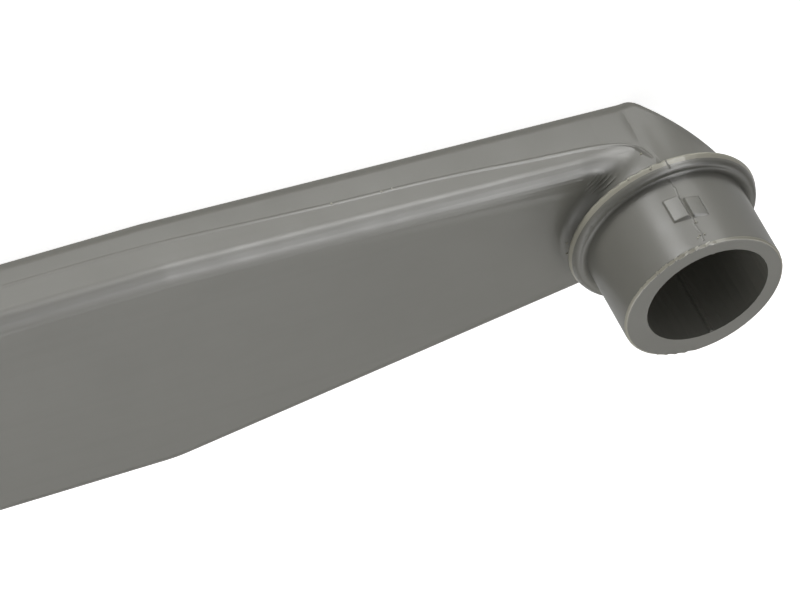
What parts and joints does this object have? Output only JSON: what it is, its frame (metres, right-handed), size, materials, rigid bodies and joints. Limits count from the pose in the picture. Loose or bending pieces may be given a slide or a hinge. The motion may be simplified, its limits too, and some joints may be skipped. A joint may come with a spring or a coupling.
{
  "type": "dishwasher wash arm feed tube",
  "caption": "Flat blown plastic water duct that narrows to a mitred elbow and leaves it as a round collared spigot; carries water to a dishwasher's wash arm.",
  "frame": {"origin": "centre of the collar's seating face, on the spigot's axis", "axes": "+Z out of the spigot, square to the duct's broad faces; +X along the straight duct towards its mouth; the narrow part of the duct leans towards -Y at the elbow"},
  "size_m": [0.3175, 0.053, 0.0345],
  "materials": {
    "moulded_polypropylene": "satin as moulded, warm grey"
  },
  "bodies": {
    "root": {"feed_tube": "moulded_polypropylene"}
  },
  "joints": []
}
